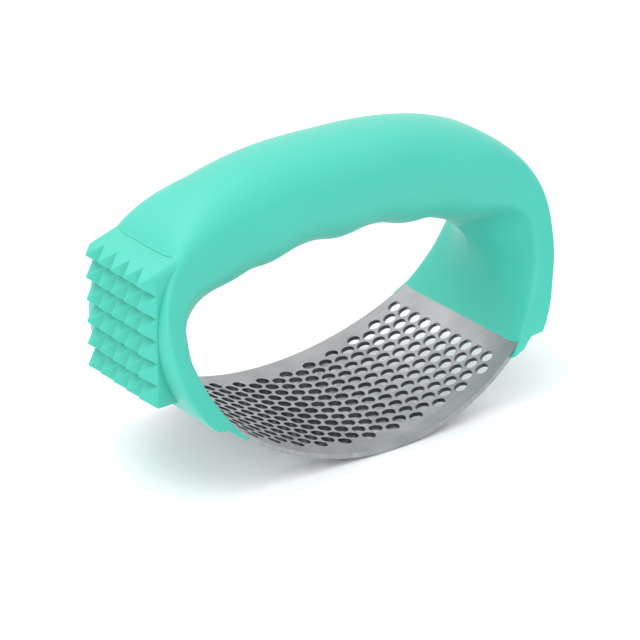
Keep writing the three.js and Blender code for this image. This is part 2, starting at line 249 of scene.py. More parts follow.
def add_node(
    tree: Tree, kind: str, settings: dict | None = None, links: dict | None = None
) -> bpy.types.Node:
    """Adds one node to a shader or geometry tree.

    Args:
        tree: The tree that gets the node.
        kind: The node's Blender type name.
        settings: Values by name. A name that is an input socket sets that socket, and any other sets
            a property of the node.
        links: Output sockets to join, by the name or number of this node's input.

    Returns:
        The new node.
    """
    node = tree.nodes.new(kind)
    for name, value in (settings or {}).items():
        if name in node.inputs and not hasattr(type(node), name):
            node.inputs[name].default_value = value
        else:
            setattr(node, name, value)
    for name, socket in (links or {}).items():
        tree.links.new(socket, node.inputs[name])
    return node


def calculated(tree: Tree, operation: str, *values: object) -> Socket:
    """Adds one math node.

    Args:
        tree: The tree that gets it.
        operation: The operation's Blender name.
        values: What it works on, each a number or a socket.

    Returns:
        The result's socket.
    """
    node = add_node(tree, "ShaderNodeMath", {"operation": operation})
    for number, value in enumerate(values):
        if isinstance(value, float):
            node.inputs[number].default_value = value
        else:
            tree.links.new(value, node.inputs[number])
    return node.outputs[0]


def mapped(tree: Tree, value: Socket, **ends: float) -> Socket:
    """Maps a value from one range to another.

    Args:
        tree: The tree that gets the node.
        value: The value's socket.
        ends: The ranges' ends by name: from_min, from_max, to_min and to_max.

    Returns:
        The mapped value's socket.
    """
    settings = {name.replace("_", " ").title(): end for name, end in ends.items()}
    return add_node(tree, "ShaderNodeMapRange", settings, {"Value": value}).outputs[0]


def noise(tree: Tree, where: Socket, size: float, detail: float) -> Socket:
    """Returns a noise whose blotches are about this many millimetres long."""
    settings = {"Scale": per_mm(size), "Detail": detail}
    return add_node(tree, "ShaderNodeTexNoise", settings, {"Vector": where}).outputs["Fac"]


def blend(tree: Tree, share: Socket, first: str | Socket, second: str) -> Socket:
    """Mixes two colours.

    Args:
        tree: The shader tree.
        share: How much of the second colour shows.
        first: A hexadecimal colour, or the socket of one.
        second: The hexadecimal colour that is mixed in.

    Returns:
        The mixed colour's socket.
    """
    node = add_node(tree, "ShaderNodeMix", {"data_type": "RGBA"}, {0: share})
    if isinstance(first, str):
        node.inputs[MIX_FIRST].default_value = linear(first)
    else:
        tree.links.new(first, node.inputs[MIX_FIRST])
    node.inputs[MIX_SECOND].default_value = linear(second)
    return node.outputs[MIX_RESULT]


def bumped(tree: Tree, height: Socket, strength: float, depth: float) -> Socket:
    """Returns the normals of a surface that a pattern raises by up to this many millimetres."""
    settings = {"Strength": strength, "Distance": depth * MM}
    return add_node(tree, "ShaderNodeBump", settings, {"Height": height}).outputs[0]


def start_finish(name: str) -> tuple[Material, Tree, Socket]:
    """Makes a material with an empty node tree.

    Args:
        name: The material's name.

    Returns:
        The material, its tree, and the socket of each point's place on the piece.
    """
    made = bpy.data.materials.new(name)
    made.use_nodes = True
    made.node_tree.nodes.clear()
    where = add_node(made.node_tree, "ShaderNodeTexCoord").outputs["Object"]
    return made, made.node_tree, where


def end_finish(tree: Tree, settings: dict, links: dict) -> None:
    """Ends a material's tree with its surface.

    Args:
        tree: The material's tree.
        settings: The surface shader's values by name.
        links: The sockets that feed it, by the name of its input.
    """
    shader = add_node(tree, "ShaderNodeBsdfPrincipled", settings, links)
    add_node(tree, "ShaderNodeOutputMaterial", {}, {"Surface": shader.outputs[0]})


def start_tree(name: str, inputs: dict[str, str]) -> tuple[Tree, object]:
    """Makes a Geometry Nodes tree that takes a geometry, the named inputs and a finish.

    Args:
        name: The tree's name.
        inputs: The kind of each input, by its name.

    Returns:
        The tree and the sockets that its inputs arrive on.
    """
    tree = bpy.data.node_groups.new(name, "GeometryNodeTree")
    for label, kind in {"Geometry": "Geometry", **inputs, "Finish": "Material"}.items():
        tree.interface.new_socket(label, in_out="INPUT", socket_type=f"NodeSocket{kind}")
    tree.interface.new_socket("Geometry", in_out="OUTPUT", socket_type="NodeSocketGeometry")
    return tree, add_node(tree, "NodeGroupInput").outputs


def end_tree(tree: Tree, geometry: Socket, finish: Socket) -> None:
    """Ends a Geometry Nodes tree: makes its instances real, gives it its finish and hands it out.

    Args:
        tree: The tree.
        geometry: The socket of what it has made.
        finish: The socket of its material.
    """
    real = add_node(tree, "GeometryNodeRealizeInstances", {}, {0: geometry})
    links = {"Geometry": real.outputs[0], "Material": finish}
    dressed = add_node(tree, "GeometryNodeSetMaterial", {}, links)
    add_node(tree, "NodeGroupOutput", {}, {0: dressed.outputs[0]})


def grid_points(tree: Tree, given: object, lengths: tuple[str, str], counts: tuple[str, str]) -> Socket:
    """Sets out a grid of points.

    Args:
        tree: The tree.
        given: The sockets of its inputs.
        lengths: The names of the inputs that give the grid's length along X and along Y.
        counts: The names of the inputs that give the points along each.

    Returns:
        The points' socket.
    """
    links = {"Size X": given[lengths[0]], "Size Y": given[lengths[1]]}
    links |= {"Vertices X": given[counts[0]], "Vertices Y": given[counts[1]]}
    return add_node(tree, "GeometryNodeMeshGrid", {}, links).outputs["Mesh"]


def weld_copies(tree: Tree, given: object, copied: str, points: Socket) -> Socket:
    """Sets a copy of one piece on every point and welds the copies to the tree's own geometry.

    Args:
        tree: The tree.
        given: The sockets of its inputs, among them Geometry and Weld.
        copied: The name of the input that is copied.
        points: The socket of the points.

    Returns:
        The welded geometry's socket.
    """
    source = add_node(tree, "GeometryNodeObjectInfo", {}, {"Object": given[copied]})
    links = {"Points": points, "Instance": source.outputs["Geometry"]}
    copies = add_node(tree, "GeometryNodeInstanceOnPoints", {}, links)
    real = add_node(tree, "GeometryNodeRealizeInstances", {}, {0: copies.outputs[0]})
    joined = add_node(tree, "GeometryNodeJoinGeometry", {}, {0: given["Geometry"]})
    tree.links.new(real.outputs[0], joined.inputs[0])
    links = {"Geometry": joined.outputs[0], "Distance": given["Weld"]}
    return add_node(tree, "GeometryNodeMergeByDistance", {}, links).outputs[0]


def add_tree(piece: Piece, tree: Tree, values: dict) -> None:
    """Adds a Geometry Nodes modifier and sets its inputs by their identifiers.

    Args:
        piece: The object that gets the modifier.
        tree: The node tree.
        values: The value of each named input.
    """
    modifier = piece.modifiers.new(tree.name, "NODES")
    modifier.node_group = tree
    for item in tree.interface.items_tree:
        if item.in_out == "INPUT" and item.name in values:
            modifier[item.identifier] = values[item.name]


# ---- Finishes ----


@dataclass(frozen=True)
class SoftTouchRubber:
    """Overmoulded thermoplastic elastomer, moulded in an eroded tool.

    The eye gets an even mint colour, a broad soft highlight from the fine grain, faint cloudiness where
    hands have polished it, paler lines along the edges that rub, and painted shade that darkens its
    creases.
    """

    name: str = "overmoulded_mint_elastomer"
    body_colour: str = "#38BCA9"
    deep_colour: str = "#31B6A1"
    rub_colour: str = "#55CDBA"
    # Painted shade: creases and hollows are darkened towards this deeper mint. It is shade, not a colour
    # of the rubber.
    painted_crease_shade_colour: str = "#119A80"
    shade_reach_mm: float = 4.0
    shade_open: float = 0.95  # above this share of open air a place gets no painted shade
    shade_shut: float = 0.2
    shade_rays: int = 8
    roughness_low: float = 0.42
    roughness_high: float = 0.58
    grain_mm: float = 0.35  # a moulded grain is about 0.1 mm, drawn coarser so that it shows
    cloud_mm: float = 14.0
    bump_mm: float = 0.03
    bump_strength: float = 0.35
    refraction: float = 1.6
    sheen: float = 0.25
    sheen_roughness: float = 0.4

    def material(self) -> Material:
        """Makes the material.

        Returns:
            The finished material.
        """
        made, tree, where = start_finish(self.name)
        cloud = noise(tree, where, self.cloud_mm, 3.0)
        grain = noise(tree, where, self.grain_mm, 2.0)
        clouded = blend(tree, cloud, self.deep_colour, self.body_colour)
        wear = add_node(tree, "ShaderNodeAttribute", {"attribute_name": "wear"}).outputs["Fac"]
        rubbed = blend(tree, calculated(tree, "MULTIPLY", wear, cloud), clouded, self.rub_colour)
        # Painted shade: the less open air there is round a point, the more it is mixed towards the deep
        # crease colour.
        reach = {"samples": self.shade_rays, "Distance": self.shade_reach_mm * MM}
        air = add_node(tree, "ShaderNodeAmbientOcclusion", reach).outputs["AO"]
        crease_shade = mapped(tree, air, from_min=self.shade_open, from_max=self.shade_shut, to_max=1.0)
        end_finish(
            tree,
            {
                "IOR": self.refraction,
                "Sheen Weight": self.sheen,
                "Sheen Roughness": self.sheen_roughness,
            },
            {
                "Base Color": blend(tree, crease_shade, rubbed, self.painted_crease_shade_colour),
                "Roughness": mapped(tree, cloud, to_min=self.roughness_low, to_max=self.roughness_high),
                "Normal": bumped(tree, grain, self.bump_strength, self.bump_mm),
            },
        )
        return made


@dataclass(frozen=True)
class SatinSteel:
    """Rolled 18/8 stainless sheet with a satin ground finish, punched and then curved.

    The eye gets a neutral grey metal with fine lines along the sheet, slightly duller patches where it
    has been washed, and darker walls in the punched holes: partly the sheared zone's own dull tone and
    partly painted shade.
    """

    name: str = "satin_ground_stainless"
    light_colour: str = "#ACADAE"
    # Partly the rough sheared zone's own darker tone, partly painted shade inside the punched holes.
    dull_colour: str = "#949597"
    sheared_wall_and_shade_colour: str = "#5A5B5D"
    dull_below: float = 0.12  # where the product of both noises is under this, the steel is all dull
    light_above: float = 0.42
    roughness_low: float = 0.26
    roughness_high: float = 0.42
    line_mm: float = 0.12  # ground lines are about 0.02 mm apart, drawn coarser so that they show
    line_length_mm: float = 9.0
    patch_mm: float = 8.0
    bump_mm: float = 0.02
    bump_strength: float = 0.3

    def material(self) -> Material:
        """Makes the material.

        Returns:
            The finished material.
        """
        made, tree, where = start_finish(self.name)
        stretch = (per_mm(self.line_length_mm), per_mm(self.line_mm), per_mm(self.line_length_mm))
        drawn = add_node(tree, "ShaderNodeMapping", {"Scale": stretch}, {"Vector": where}).outputs[0]
        ground = {"Scale": 1.0, "Detail": 3.0}
        lines = add_node(tree, "ShaderNodeTexNoise", ground, {"Vector": drawn}).outputs["Fac"]
        patch = noise(tree, where, self.patch_mm, 4.0)
        both = calculated(tree, "MULTIPLY", lines, patch)
        light = mapped(tree, both, from_min=self.dull_below, from_max=self.light_above)
        sheet = blend(tree, light, self.dull_colour, self.light_colour)
        # The punched walls are darkened: partly the sheared zone's own tone, partly painted shade.
        wall = add_node(tree, "ShaderNodeAttribute", {"attribute_name": "cut_wall_shade"}).outputs["Fac"]
        end_finish(
            tree,
            {"Metallic": 1.0},
            {
                "Base Color": blend(tree, wall, sheet, self.sheared_wall_and_shade_colour),
                "Roughness": mapped(tree, light, to_min=self.roughness_high, to_max=self.roughness_low),
                "Normal": bumped(tree, lines, self.bump_strength, self.bump_mm),
            },
        )
        return made


@dataclass(frozen=True)
class MouldedPolypropylene:
    """Natural injection-moulded polypropylene.

    The eye gets a milky white with faint flow clouds, left as it comes from the tool because the skin
    covers it.
    """

    name: str = "natural_moulded_polypropylene"
    body_colour: str = "#E8EBE8"
    flow_colour: str = "#DDE1DC"
    roughness: float = 0.45
    flow_mm: float = 10.0

    def material(self) -> Material:
        """Makes the material.

        Returns:
            The finished material.
        """
        made, tree, where = start_finish(self.name)
        flow = noise(tree, where, self.flow_mm, 4.0)
        colour = blend(tree, flow, self.flow_colour, self.body_colour)
        end_finish(tree, {"Roughness": self.roughness}, {"Base Color": colour})
        return made


# ---- Press plate ----


@dataclass
class PressPlate:
    """The rolled plate with its rows of punched holes, in millimetres.

    It is laid out flat, with U along the roll and V across it, and rolled at the end.
    """

    radius: float = 66.9
    thickness: float = 1.2
    mid_width: float = 52.8
    end_width: float = 42.4
    reach: float = 43.2
    neck_reach: float = 44.8
    neck_width: float = 24.0
    head_reach: float = 47.0
    head_width: float = 34.0
    hole_diameter: float = 3.24
    hole_pitch: float = 4.0
    stagger: float = 0.25  # of the hole pitch, to one side in a row and to the other in the next
    row_pitch: float = 3.48
    rows: int = 22
    holes: int = 10
    row_steps: int = 6  # mesh lines across one row's pitch
    hole_steps: int = 4  # mesh lines across one hole's pitch
    end_steps: int = 6  # mesh lines between the last row and the plate's end
    margin_steps: int = 3  # mesh lines between the holes and the plate's side
    weld: float = 0.01
    edge_round: float = 0.16
    sharp_edge: float = 50.0
    shaded_edge: float = 32.0
    level: float = field(init=False)
    middle: float = field(init=False)
    field_u: float = field(init=False)
    field_v: float = field(init=False)

    def __post_init__(self) -> None:
        """Works out the roll's centre line and the holes' field, and finds the middle from the CAD box."""
        low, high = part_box("press_plate")
        self.middle = (low.x + high.x) / 2 / MM
        self.level = self.radius + self.thickness
        self.field_u = self.rows * self.row_pitch / 2
        self.field_v = (self.holes / 2 + self.stagger) * self.hole_pitch

    def placed(self, x: float, y: float, z: float) -> Point:
        """Returns a point given in millimetres from the plate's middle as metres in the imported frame."""
        return ((x + self.middle) * MM, y * MM, z * MM)

    def arc(self, reach: float) -> float:
        """Returns the length along the roll's inside that reaches this far along X."""
        return self.radius * math.asin(reach / self.radius)

    def half_width(self, u: float) -> float:
        """Returns half the plate's width at a place along the roll."""
        share = min(1.0, self.radius * math.sin(abs(u) / self.radius) / self.reach)
        return mix(self.mid_width, self.end_width, share * share) / 2

    def cell(self) -> Piece:
        """Makes one hole with its share of the sheet, as a ring of faces from the hole to the cell's edge.

        Returns:
            The cell, flat and centred on its hole.
        """
        half_u, half_v = self.row_pitch / 2, self.hole_pitch / 2
        side = [(self.row_pitch * k / self.row_steps, half_v) for k in range(self.row_steps // 2)]
        step = self.hole_pitch / self.hole_steps
        top = [(half_u, half_v - k * step) for k in range(self.hole_steps // 2 + 1)]
        quarter = side + top
        half = quarter[:-1] + [(u, -v) for u, v in reversed(quarter[1:])]
        rim = half + [(-u, -v) for u, v in half]
        radius = self.hole_diameter / 2
        points = [(u * MM, v * MM, 0.0) for u, v in rim]
        count = len(rim)
        for k in range(count):
            angle = math.pi / 2 - 2 * math.pi * k / count
            points.append((radius * math.cos(angle) * MM, radius * math.sin(angle) * MM, 0.0))
        faces = [(k, k + count, (k + 1) % count + count, (k + 1) % count) for k in range(count)]
        return new_mesh("punched_cell", points, faces)

    def border(self) -> Piece:
        """Makes the plain sheet round the holes, with its corners on the cells' corners.

        Returns:
            The flat sheet, open where the cells go.
        """
        field_u, field_v = self.field_u, self.field_v
        step_u, step_v = self.row_pitch / self.row_steps, self.hole_pitch / self.hole_steps
        inner = [-field_u + k * step_u for k in range(self.rows * self.row_steps + 1)]
        stops = [self.arc(x) for x in (self.reach, self.neck_reach, self.head_reach)]
        ends = [mix(field_u, stops[0], (k + 1) / self.end_steps) for k in range(self.end_steps)]
        outer = ends + stops[1:]
        along = [-u for u in reversed(outer)] + inner + outer
        across = [-field_v + k * step_v for k in range(round(2 * field_v / step_v))]
        points: list = []
        faces: list = []
        found: dict = {}

        def point(u: float, v: float) -> int:
            """Finds the corner at a place, or makes it.

            Args:
                u: The place along the roll.
                v: The place across it.

            Returns:
                The corner's number.
            """
            key = (round(u, 4), round(v, 4))
            if key not in found:
                found[key] = len(points)
                points.append((u * MM, v * MM, 0.0))
            return found[key]

        def patch(u: tuple, low: tuple, high: tuple) -> None:
            """Adds one face between two places along the roll, each with its own V values.

            Args:
                u: The two places.
                low: The lower V value at each.
                high: The higher V value at each.
            """
            corners = ((u[0], low[0]), (u[1], low[1]), (u[1], high[1]), (u[0], high[0]))
            faces.append(tuple(point(*corner) for corner in corners))

        def margins(u: tuple) -> None:
            """Adds the faces between the holes' field and the plate's two sides.

            Args:
                u: The two places along the roll that they lie between.
            """
            for side in (-1, 1):
                lines = [
                    [side * mix(field_v, self.half_width(end), k / self.margin_steps) for end in u]
                    for k in range(self.margin_steps + 1)
                ]
                for near, far in zip(lines, lines[1:]):
                    patch(u, *((near, far) if side > 0 else (far, near)))

        tolerance = 1e-6
        for here, ahead in zip(along, along[1:]):
            middle = abs(here + ahead) / 2
            limit = field_v
            if middle > stops[0] + tolerance:
                limit = self.neck_width / 2 if middle < stops[1] else self.head_width / 2
            else:
                margins((here, ahead))
            if middle > field_u:
                for v in across:
                    if abs(v + step_v / 2) < limit:
                        patch((here, ahead), (v, v), (v + step_v, v + step_v))
            else:
                row = int((here + ahead + 2 * field_u) / 2 / self.row_pitch)
                side = 1 if row % 2 else -1
                for k in range(self.hole_steps // 2):
                    v = -side * (field_v - k * step_v)
                    low, high = sorted((v, v + side * step_v))
                    patch((here, ahead), (low, low), (high, high))
        return new_mesh("press_plate_rolled", points, faces)

    def punch_tree(self) -> Tree:
        """Makes the tree that sets a cell at every hole of the staggered rows and joins it to the sheet.

        Returns:
            The tree.
        """
        lengths = {name: "Float" for name in ("Row Length", "Hole Length", "Stagger", "Weld")}
        inputs = {"Cell": "Object", "Rows": "Int", "Holes": "Int", **lengths}
        tree, given = start_tree("punch_rows", inputs)
        grid = grid_points(tree, given, ("Row Length", "Hole Length"), ("Rows", "Holes"))
        number = add_node(tree, "GeometryNodeInputIndex").outputs[0]
        row = calculated(tree, "FLOOR", calculated(tree, "DIVIDE", number, given["Holes"]))
        odd = calculated(tree, "FLOORED_MODULO", row, 2.0)
        way = calculated(tree, "MULTIPLY_ADD", odd, 2.0, -1.0)
        shift = calculated(tree, "MULTIPLY", way, given["Stagger"])
        offset = add_node(tree, "ShaderNodeCombineXYZ", {}, {"Y": shift}).outputs[0]
        links = {"Geometry": grid, "Offset": offset}
        moved = add_node(tree, "GeometryNodeSetPosition", {}, links).outputs[0]
        end_tree(tree, weld_copies(tree, given, "Cell", moved), given["Finish"])
        return tree

    def roll_tree(self) -> Tree:
        """Makes the tree that curves the flat sheet into the roll.

        Returns:
            The tree.
        """
        tree, given = start_tree("roll_sheet", {name: "Float" for name in ("Radius", "Level", "Middle")})
        where = add_node(tree, "GeometryNodeInputPosition").outputs[0]
        flat = add_node(tree, "ShaderNodeSeparateXYZ", {}, {0: where}).outputs
        angle = calculated(tree, "DIVIDE", flat["X"], given["Radius"])
        radius = calculated(tree, "SUBTRACT", given["Radius"], flat["Z"])
        out = calculated(tree, "MULTIPLY", radius, calculated(tree, "SINE", angle))
        down = calculated(tree, "MULTIPLY", radius, calculated(tree, "COSINE", angle))
        x = calculated(tree, "ADD", out, given["Middle"])
        z = calculated(tree, "SUBTRACT", given["Level"], down)
        rolled = add_node(tree, "ShaderNodeCombineXYZ", {}, {"X": x, "Y": flat["Y"], "Z": z}).outputs[0]
        links = {"Geometry": given["Geometry"], "Position": rolled}
        moved = add_node(tree, "GeometryNodeSetPosition", {}, links).outputs[0]
        end_tree(tree, moved, given["Finish"])
        return tree

    def build(self, material: Material) -> Piece:
        """Builds the finished plate.

        Args:
            material: Its finish.

        Returns:
            The plate as one plain mesh.
        """
        cell = self.cell()
        plate = self.border()
        add_tree(
            plate,
            self.punch_tree(),
            {
                "Cell": cell,
                "Rows": self.rows,
                "Holes": self.holes,
                "Row Length": (self.rows - 1) * self.row_pitch * MM,
                "Hole Length": (self.holes - 1) * self.hole_pitch * MM,
                "Stagger": self.stagger * self.hole_pitch * MM,
                "Weld": self.weld * MM,
                "Finish": material,
            },
        )
        wall = plate.modifiers.new("sheet", "SOLIDIFY")
        wall.thickness = self.thickness * MM
        wall.offset = -1.0
        soften(plate, self.edge_round, 1, self.sharp_edge)
        add_tree(
            plate,
            self.roll_tree(),
            {
                "Radius": self.radius * MM,
                "Level": self.level * MM,
                "Middle": self.middle * MM,
                "Finish": material,
            },
        )
        frozen(plate)
        bpy.data.objects.remove(cell)
        smooth_by_angle(plate, self.shaded_edge)
        self.mark_walls(plate)
        place(plate, Slot.STEEL, "press_plate", material)
        return plate

    def mark_walls(self, plate: Piece) -> None:
        """Marks the faces that a punch has cut through the sheet, for their darker sheared tone and
        painted shade.

        Args:
            plate: The finished mesh.
        """
        field_x = self.radius * math.sin(self.field_u / self.radius)
        lean = 0.5  # the share of a wall's normal that may point at the roll's centre line
        values = []
        for face in plate.data.polygons:
            x, y, z = (c / MM for c in face.center)
            spoke = Vector((x - self.middle, 0.0, z - self.level)).normalized()
            punched = abs(x - self.middle) < field_x and abs(y) < self.field_v
            values.append(1.0 if punched and abs(face.normal.dot(spoke)) < lean else 0.0)
        plate.data.attributes.new("cut_wall_shade", "FLOAT", "FACE").data.foreach_set("value", values)


# ---- Handle ----


@dataclass
class Arch:
    """Half an arch from its top to a leg's end: a squared quarter, then a round stretch."""

    reach: float
    top: float
    level: float
    end_reach: float
    end_level: float
    power: float = 2.5
    steps: int = 400
    points: list = field(init=False)
    lengths: list = field(init=False)

    def __post_init__(self) -> None:
        """Draws the arch finely and measures along it."""
        rise = self.top - self.level
        self.points = []
        for k in range(self.steps + 1):
            angle = math.pi / 2 * (1 - k / self.steps)
            x = self.reach * max(0.0, math.cos(angle)) ** (2 / self.power) if k else 0.0
            self.points.append((x, self.level + rise * math.sin(angle) ** (2 / self.power)))
        drop = self.level - self.end_level
        back = self.reach - self.end_reach
        radius = (drop * drop + back * back) / (2 * back)
        sweep = math.asin(drop / radius)
        round_steps = self.steps // 4
        for k in range(1, round_steps + 1):
            angle = sweep * k / round_steps
            self.points.append(
                (self.reach - radius * (1 - math.cos(angle)), self.level - radius * math.sin(angle))
            )
        self.lengths = [0.0]
        for first, second in zip(self.points, self.points[1:]):
            self.lengths.append(self.lengths[-1] + math.dist(first, second))

    def at(self, share: float) -> tuple[float, float]:
        """Finds a point on the arch.

        Args:
            share: The share of the arch's length, from its top.

        Returns:
            The point's X and Z.
        """
        wanted = min(1.0, max(0.0, share)) * self.lengths[-1]
        low, high = 0, len(self.lengths) - 1
        while high - low > 1:
            half = (low + high) // 2
            if self.lengths[half] <= wanted:
                low = half
            else:
                high = half
        part = (wanted - self.lengths[low]) / (self.lengths[high] - self.lengths[low])
        (x0, z0), (x1, z1) = self.points[low], self.points[high]
        return mix(x0, x1, part), mix(z0, z1, part)

    def inside(self, share: float, depth: float) -> tuple[float, float]:
        """Finds a point beside the arch, square to it.

        Args:
            share: The share of the arch's length, from its top.
            depth: How far the point lies towards the hollow side.

        Returns:
            The point's X and Z.
        """
        step = 0.002
        (x0, z0), (x1, z1) = self.at(share - step), self.at(share + step)
        length = math.dist((x0, z0), (x1, z1))
        x, z = self.at(share)
        return x + (z1 - z0) / length * depth, z - (x1 - x0) / length * depth


@dataclass
class Handle:
    """The soft skin of the arched handle, in millimetres.

    Its sections run along a path between two arches, the outer one and the one round the opening.
    """

    plate: PressPlate
    widest_level: float = 37.5
    grip_width: float = 26.4
    grip_depth: float = 24.0
    leg_depth: float = 12.0
    leg_side: float = 2.5
    opening_level: float = 25.0
    finger_pitch: float = 19.1
    ridge_height: float = 1.2
    ridge_power: float = 1.4
    ridge_shift: float = -1.6
    ridge_span: float = 31.0
    ridge_fade: float = 8.0
    heel_set: float = 18.4
    heel_rise: float = 0.7
    lip_cover: float = 0.5
    lip_width: float = 3.7
    tip_rise: float = 1.03
    leg_edge: float = 7.8
    grip_power: float = 2.2
    leg_outer_power: float = 7.0
    leg_inner_power: float = 5.0
    end_power: float = 14.0
    # Shares of the path from the top to a leg's end, between which one shape turns into the next.
    outer_turn: tuple = (0.34, 0.72)
    inner_turn: tuple = (0.42, 0.72)
    edge_turn: tuple = (0.78, 0.94)
    end_turn: tuple = (0.86, 0.97)
    flare_start: float = 0.5
    flare_power: float = 1.6
    shoulder_lag: float = 0.07
    lag_power: float = 2.6
    skin: float = 1.7
    core_end_cover: float = 3.0
    seat_gap: float = 0.05
    seat_lead: float = 8.0  # how far inside the heel the seat's cut starts
    wear_start: float = 0.03
    wear_gain: float = 8.0
    shaded_edge: float = 35.0
    spans: int = 240
    sides: int = 72
    outer: Arch = field(init=False)
    inner: Arch = field(init=False)
    top: float = field(init=False)
    reach: float = field(init=False)
    heel_reach: float = field(init=False)
    lip_reach: float = field(init=False)
    tip_reach: float = field(init=False)
    tip_level: float = field(init=False)

    def __post_init__(self) -> None:
        """Takes the handle's height and reach from its CAD box and works out its two arches."""
        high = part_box("grip_skin")[1]
        self.top = high.z / MM
        self.reach = high.x / MM - self.plate.middle
        self.heel_reach = self.reach - self.heel_set
        self.lip_reach = self.plate.reach + self.lip_cover
        self.tip_reach = self.lip_reach + self.lip_width
        self.tip_level = self.underside(self.lip_reach) + self.tip_rise
        self.outer = Arch(self.reach, self.top, self.widest_level, self.tip_reach, self.tip_level)
        self.inner = Arch(
            self.reach - self.leg_depth,
            self.top - self.grip_depth,
            self.opening_level,
            self.heel_reach,
            self.underside(self.heel_reach) + self.heel_rise,
        )

    def underside(self, x: float) -> float:
        """Returns the height of the plate's underside at a distance from its middle."""
        return self.plate.level - math.sqrt(self.plate.level**2 - x * x)

    def ridge(self, x: float) -> float:
        """Works out how far the ridges between the fingers stand below the opening's top.

        Args:
            x: The distance from the plate's middle, towards either end.

        Returns:
            The depth.
        """
        wave = math.cos(math.pi * (x - self.ridge_shift) / self.finger_pitch) ** 2
        fade = 1 - smooth((self.ridge_span - self.ridge_fade, self.ridge_span), abs(x))
        return self.ridge_height * wave**self.ridge_power * fade

    def section(self, t: float, inset: float) -> list[tuple[float, float, float]]:
        """Works out the handle's outline at one place along its path.

        Args:
            t: The place, from -1 at one leg's end to 1 at the other's.
            inset: How far the outline is shrunk on every side.

        Returns:
            The points round the section.
        """
        share, sign = abs(t), (1 if t >= 0 else -1)
        outer = self.outer.at(share)
        lag = self.shoulder_lag * math.sin(math.pi * share**self.lag_power) ** 2
        inner = self.inner.at(max(0.0, share - lag))
        inner = (inner[0], inner[1] - self.ridge(sign * inner[0]))
        depth = math.dist(outer, inner)
        legness = smooth(self.inner_turn, share)
        edge = mix(depth, mix(self.leg_edge, depth, smooth(self.edge_turn, share)), legness) / 2
        squareness = smooth(self.end_turn, share)
        outer_leg = mix(self.grip_power, self.leg_outer_power, smooth(self.outer_turn, share))
        inner_leg = mix(self.grip_power, self.leg_inner_power, legness)
        outer_power = mix(outer_leg, self.end_power, squareness)
        inner_power = mix(inner_leg, self.end_power, squareness)
        flare = (max(0.0, share - self.flare_start) / (1 - self.flare_start)) ** self.flare_power
        end_width = self.plate.end_width + 2 * self.leg_side
        half_width = mix(self.grip_width, end_width, flare) / 2 - inset
        half_edge = edge - inset
        bulge = depth - 2 * edge
        points = []
        for k in range(self.sides):
            angle = 2 * math.pi * k / self.sides
            power = inner_power if math.sin(angle) > 0 else outer_power
            across = math.copysign(abs(math.cos(angle)) ** (2 / power), math.cos(angle))
            along = math.copysign(abs(math.sin(angle)) ** (2 / power), math.sin(angle))
            sink = edge + half_edge * along
            if along > 0:
                sink += bulge * (1 - across * across) ** 2
            part = sink / depth
            x, z = mix(outer[0], inner[0], part), mix(outer[1], inner[1], part)
            points.append((sign * x, half_width * across, z))
        return points

    def body(self, name: str, inset: float, end: float, spans: int) -> Piece:
        """Makes the handle's body as a solid.

        Args:
            name: The object's name.
            inset: How far the body is shrunk on every side.
            end: The share of the path that it covers each way.
            spans: How many spans lie between its sections.

        Returns:
            The new object.
        """
        stops = [end * (2 * k / spans - 1) for k in range(spans + 1)]
        rings = [[self.plate.placed(*p) for p in self.section(t, inset)] for t in stops]
        return closed_body(name, [rings])

    def across(self, name: str, outlines: list, width: float) -> Piece:
        """Makes closed bodies from outlines seen from the front, centred across the press.

        Args:
            name: The object's name.
            outlines: Lists of (x, z) corners.
            width: The bodies' width along Y.

        Returns:
            The new object.
        """
        sides = (-width / 2, width / 2)
        runs = [[[self.plate.placed(x, y, z) for x, z in line] for y in sides] for line in outlines]
        return closed_body(name, runs)

    def end_trim(self) -> Piece:
        """Makes what is cut away below the legs, flush with the plate and then up to the outer lip.

        Returns:
            The cutter for both legs.
        """
        beyond, steps = 6.0, 24
        start, far = self.heel_reach - beyond, self.tip_reach + beyond
        xs = [mix(start, self.lip_reach, k / steps) for k in range(steps + 1)]
        line = [(x, self.underside(x)) for x in xs]
        line += [(self.tip_reach, self.tip_level), (far, self.tip_level), (far, -beyond), (start, -beyond)]
        outlines = [[(sign * x, z) for x, z in line] for sign in (-1, 1)]
        return self.across("leg_end_trim", outlines, self.plate.end_width + 2 * beyond)

    def seat_cut(self, part: str, span: tuple, width: float | None = None) -> Piece:
        """Makes the curved slabs that cut one part of the plate's seat in both legs.

        Args:
            part: The part's name.
            span: How far from the middle the part starts and stops.
            width: The part's width, or nothing where it is as wide as the plate.

        Returns:
            The slabs as one object.
        """
        plate, gap, steps = self.plate, self.seat_gap, 24
        above, below = plate.radius - gap, plate.level + gap
        runs = []
        for sign in (-1, 1):
            rings = []
            for k in range(steps + 1):
                angle = math.asin(mix(*span, k / steps) / plate.radius)
                half = (width / 2 if width else plate.half_width(angle * plate.radius)) + gap
                corners = ((above, -half), (above, half), (below, half), (below, -half))
                out, down = sign * math.sin(angle), math.cos(angle)
                rings.append([plate.placed(r * out, y, plate.level - r * down) for r, y in corners])
            runs.append(rings)
        return closed_body(f"seat_{part}", runs)

    def build(self, material: Material, recess: Piece) -> Piece:
        """Builds the finished skin.

        Args:
            material: Its finish.
            recess: The cutter for the peeler pad's recess.

        Returns:
            The skin as one plain mesh.
        """
        plate, lap = self.plate, 0.1
        handle = self.body("grip_skin_moulded", 0.0, 1.0, self.spans)
        core_end = 1 - self.core_end_cover / self.outer.lengths[-1]
        head_end = plate.head_reach + self.seat_gap
        cut_away(
            handle,
            [
                self.end_trim(),
                self.body("cavity", self.skin, core_end, self.spans // 2),
                self.seat_cut("full", (self.heel_reach - self.seat_lead, plate.reach)),
                self.seat_cut("neck", (plate.reach - lap, plate.neck_reach + lap), plate.neck_width),
                self.seat_cut("head", (plate.neck_reach, head_end), plate.head_width),
                recess,
            ],
        )
        smooth_by_angle(handle, self.shaded_edge)
        self.mark_wear(handle)
        place(handle, Slot.SKIN, "grip_skin", material)
        return handle

